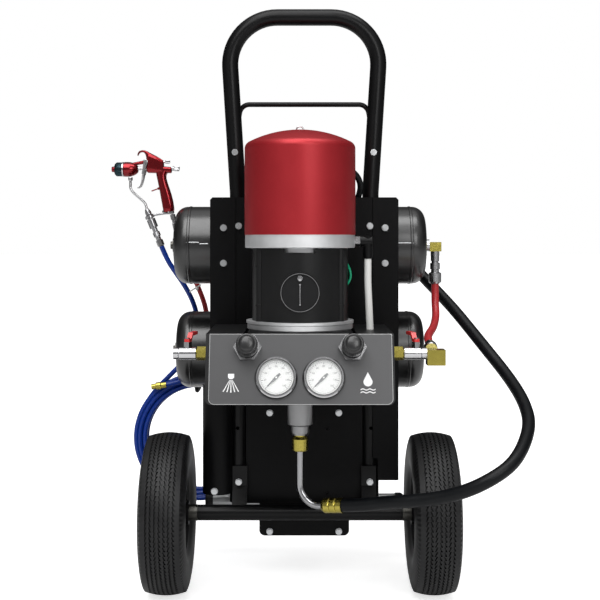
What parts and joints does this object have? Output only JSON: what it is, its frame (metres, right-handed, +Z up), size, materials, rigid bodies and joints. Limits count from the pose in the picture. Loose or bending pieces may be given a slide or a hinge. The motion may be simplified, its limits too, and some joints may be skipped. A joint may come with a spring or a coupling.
{
  "type": "airless paint sprayer",
  "caption": "Two-wheel cart with a handle loop, air motor and piston pump, pressure panel, air tanks, siphon hose and a spray gun on a coiled hose.",
  "frame": {"origin": "on the floor below the middle of the object, hoses and gun left out; the axle's line is 27 mm in front of it", "axes": "+Z up, +X to the operator's right along the axle, -Y towards the operator, who faces the panel"},
  "size_m": [0.7004, 0.5011, 0.9535],
  "materials": {
    "black_paint": "satin black powder coat",
    "tank_black": "glossy black paint",
    "panel_grey": "grey paint, light clear coat",
    "zinc": "zinc plated",
    "rubber": "black rubber",
    "tyre": "black tread rubber",
    "aluminium": "machined aluminium",
    "cover_red": "metallic red paint",
    "gun_red": "red anodised aluminium",
    "gun_grey": "dark grey anodised aluminium",
    "shroud_black": "moulded black plastic",
    "steel": "bright steel",
    "chrome": "chrome plated",
    "brass": "machined brass",
    "dial_white": "white enamel",
    "needle_black": "black",
    "glass": "clear lens",
    "knob_plastic": "black moulded plastic",
    "hose_black": "black hose",
    "hose_red": "red hose",
    "hose_blue": "blue hose",
    "tube_white": "white nylon tube",
    "lever_red": "red plastic sleeve on a steel lever"
  },
  "bodies": {
    "cart": {"axle_tube": "black_paint", "axle_shaft": "steel", "rear_stand": "black_paint", "rubber_ends": "rubber", "rear_tie_bar": "zinc", "frame_bolts": "zinc", "handle_frame": "black_paint", "hose_rack_rod": "black_paint", "back_plate": "black_paint", "wing_plates": "black_paint", "mount_plate": "black_paint", "tank_brackets": "black_paint", "upper_tank": "tank_black", "lower_tank": "tank_black", "lower_flange": "aluminium", "tie_rods": "steel", "motor_base": "aluminium", "motor_cover": "cover_red", "shroud": "shroud_black", "pump_cylinder": "aluminium", "pump_bracket": "black_paint", "lifting_eye": "chrome", "panel_box": "panel_grey", "regulator_bodies": "chrome", "gauge_cases": "chrome", "gauge_dials": "dial_white", "gauge_lenses": "glass", "valve_body_left": "chrome", "valve_body_right": "chrome", "brass_fittings": "brass", "steel_fittings": "steel", "air_elbow": "knob_plastic", "air_tube": "tube_white", "signal_hose": "hose_black", "jumper_hose": "hose_red", "siphon_tube": "steel", "siphon_fittings": "brass", "siphon_hose": "hose_black", "siphon_pickup": "steel", "gun_body": "gun_red", "gun_air_cap": "gun_grey", "gun_fluid_tube": "steel", "gun_hose": "hose_blue", "gun_hose_coil": "hose_blue", "gun_air_hose": "hose_red"},
    "wheel_left": {"rim_left": "black_paint", "tyre_left": "tyre"},
    "wheel_right": {"rim_right": "black_paint", "tyre_right": "tyre"},
    "regulator_knob_left": {"knob_left": "knob_plastic"},
    "regulator_knob_right": {"knob_right": "knob_plastic"},
    "valve_lever_left": {"lever_left": "lever_red"},
    "valve_lever_right": {"lever_right": "lever_red"},
    "gauge_needle_left": {"needle_left": "needle_black"},
    "gauge_needle_right": {"needle_right": "needle_black"},
    "trigger": {"gun_trigger": "steel"},
    "air_knob": {"gun_air_knob": "chrome"},
    "fluid_knob": {"gun_fluid_knob": "chrome"},
    "disc": {"inspection_disc": "shroud_black"},
    "piston": {"piston_rod": "chrome"}
  },
  "joints": [
    {"name": "wheel_left_spin", "type": "hinge", "parent": "cart", "child": "wheel_left", "pos_m": [-0.2142, -0.027, 0.129], "axis": [1, 0, 0], "continuous": true},
    {"name": "wheel_right_spin", "type": "hinge", "parent": "cart", "child": "wheel_right", "pos_m": [0.2142, -0.027, 0.129], "axis": [1, 0, 0], "continuous": true},
    {"name": "regulator_knob_left_turn", "type": "hinge", "parent": "cart", "child": "regulator_knob_left", "pos_m": [-0.077, -0.20811, 0.41319], "axis": [0, -0.9588, 0.284], "range_deg": [-360, 360]},
    {"name": "regulator_knob_right_turn", "type": "hinge", "parent": "cart", "child": "regulator_knob_right", "pos_m": [0.077, -0.20811, 0.41319], "axis": [0, -0.9588, 0.284], "range_deg": [-360, 360]},
    {"name": "needle_left_turn", "type": "hinge", "parent": "cart", "child": "gauge_needle_left", "pos_m": [-0.0347, -0.22329, 0.37179], "axis": [0, -0.9588, 0.284], "range_deg": [-270, 0]},
    {"name": "needle_right_turn", "type": "hinge", "parent": "cart", "child": "gauge_needle_right", "pos_m": [0.0347, -0.22329, 0.37179], "axis": [0, -0.9588, 0.284], "range_deg": [-270, 0]},
    {"name": "valve_lever_left_turn", "type": "hinge", "parent": "cart", "child": "valve_lever_left", "pos_m": [-0.1705, -0.147, 0.4172], "axis": [0, 0, 1], "range_deg": [0, 90]},
    {"name": "valve_lever_right_turn", "type": "hinge", "parent": "cart", "child": "valve_lever_right", "pos_m": [0.1765, -0.147, 0.4172], "axis": [0, 0, 1], "range_deg": [-90, 0]},
    {"name": "trigger_pull", "type": "hinge", "parent": "cart", "child": "trigger", "pos_m": [-0.2776, 0.173, 0.7106], "axis": [0, 1, 0], "range_deg": [-16, 0], "stiffness_Nm_per_rad": 0.5},
    {"name": "air_knob_turn", "type": "hinge", "parent": "cart", "child": "air_knob", "pos_m": [-0.2456, 0.173, 0.7126], "axis": [1, 0, 0], "range_deg": [-360, 360]},
    {"name": "fluid_knob_turn", "type": "hinge", "parent": "cart", "child": "fluid_knob", "pos_m": [-0.2306, 0.173, 0.7006], "axis": [1, 0, 0], "range_deg": [-360, 360]},
    {"name": "disc_turn", "type": "hinge", "parent": "cart", "child": "disc", "pos_m": [0, -0.1935, 0.515], "axis": [0, 1, 0], "range_deg": [-110, 110]},
    {"name": "piston_stroke", "type": "slide", "parent": "cart", "child": "piston", "axis": [0, 0, 1], "range_m": [-0.05, 0]}
  ]
}
